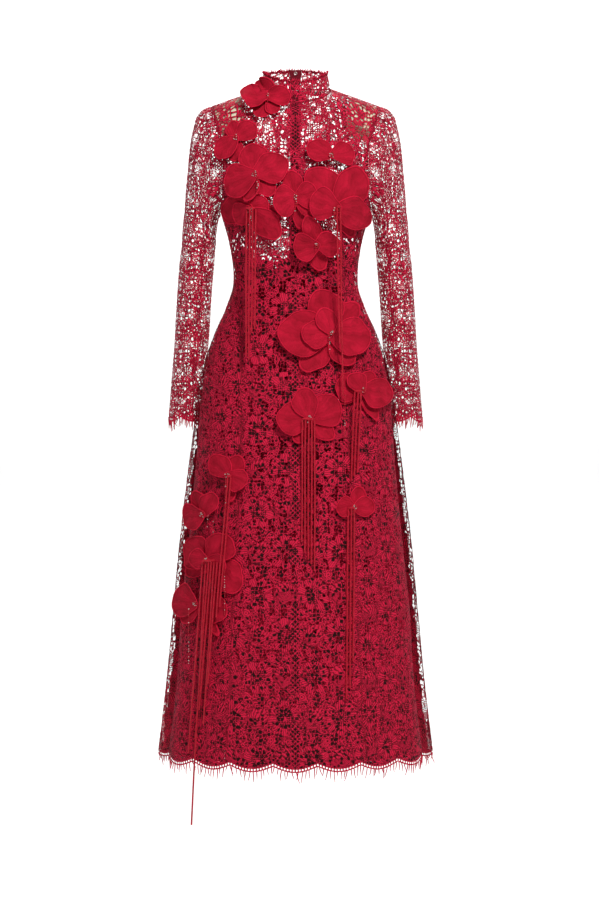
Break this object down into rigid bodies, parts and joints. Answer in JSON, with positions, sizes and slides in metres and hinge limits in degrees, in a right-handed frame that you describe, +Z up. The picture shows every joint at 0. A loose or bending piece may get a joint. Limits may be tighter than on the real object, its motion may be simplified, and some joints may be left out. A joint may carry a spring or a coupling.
{
  "type": "lace ao dai tunic",
  "caption": "Long-sleeved lace ao dai tunic with a stand collar, side slits, cloth flowers, hanging rouleau strands and eyelash edges, hollow as on a wearer.",
  "frame": {"origin": "middle of the shoulder line at the base of the neck, where the wearer carries the tunic", "axes": "+Z up, -Y towards the front of the tunic, +X to the right as seen from the front; nodes named left lie at -X"},
  "size_m": [0.54, 0.3492, 1.457],
  "materials": {
    "lace": "corded guipure lace, matt with a faint silk sheen",
    "petal_cloth": "dense matt crepe with rolled stitched edges",
    "rouleau": "satin crepe tubes",
    "pad_cloth": "beige cotton over wadding",
    "zip_tape": "woven polyester tape",
    "zip_metal": "lacquered zip metal"
  },
  "bodies": {
    "tunic": {"front_centre": "lace", "front_side_left": "lace", "front_side_right": "lace", "back_left": "lace", "back_right": "lace", "collar": "lace", "sleeve_left_top": "lace", "sleeve_left_under": "lace", "sleeve_right_top": "lace", "sleeve_right_under": "lace", "hem_edge_front": "lace", "hem_edge_back": "lace", "cuff_edge_left": "lace", "cuff_edge_right": "lace", "shoulder_pad_left": "pad_cloth", "shoulder_pad_right": "pad_cloth", "zip_tape_left": "zip_tape", "zip_tape_right": "zip_tape", "zip_slider": "zip_metal", "flower_collar": "petal_cloth", "flower_shoulder": "petal_cloth", "flower_left_bust": "petal_cloth", "flower_left_low": "petal_cloth", "flower_centre_bust": "petal_cloth", "flower_right_high": "petal_cloth", "flower_right_bust": "petal_cloth", "flower_centre_low": "petal_cloth", "flower_waist": "petal_cloth", "flower_right_hip": "petal_cloth", "flower_centre_hip": "petal_cloth", "flower_right_low": "petal_cloth", "flower_left_first": "petal_cloth", "flower_left_second": "petal_cloth", "flower_left_third": "petal_cloth", "flower_left_fourth": "petal_cloth", "strands_left_low": "rouleau", "strands_right_bust": "rouleau", "strands_right_hip": "rouleau", "strands_centre_hip": "rouleau", "strands_right_low": "rouleau", "strands_left_first": "rouleau", "strands_left_third": "rouleau"},
    "zip_pull": {"zip_pull": "zip_metal"}
  },
  "joints": [
    {"name": "zip_pull_hinge", "type": "hinge", "parent": "tunic", "child": "zip_pull", "pos_m": [0, 0.0658, 0.05404], "axis": [1, 0, 0], "range_deg": [0, 170]}
  ]
}
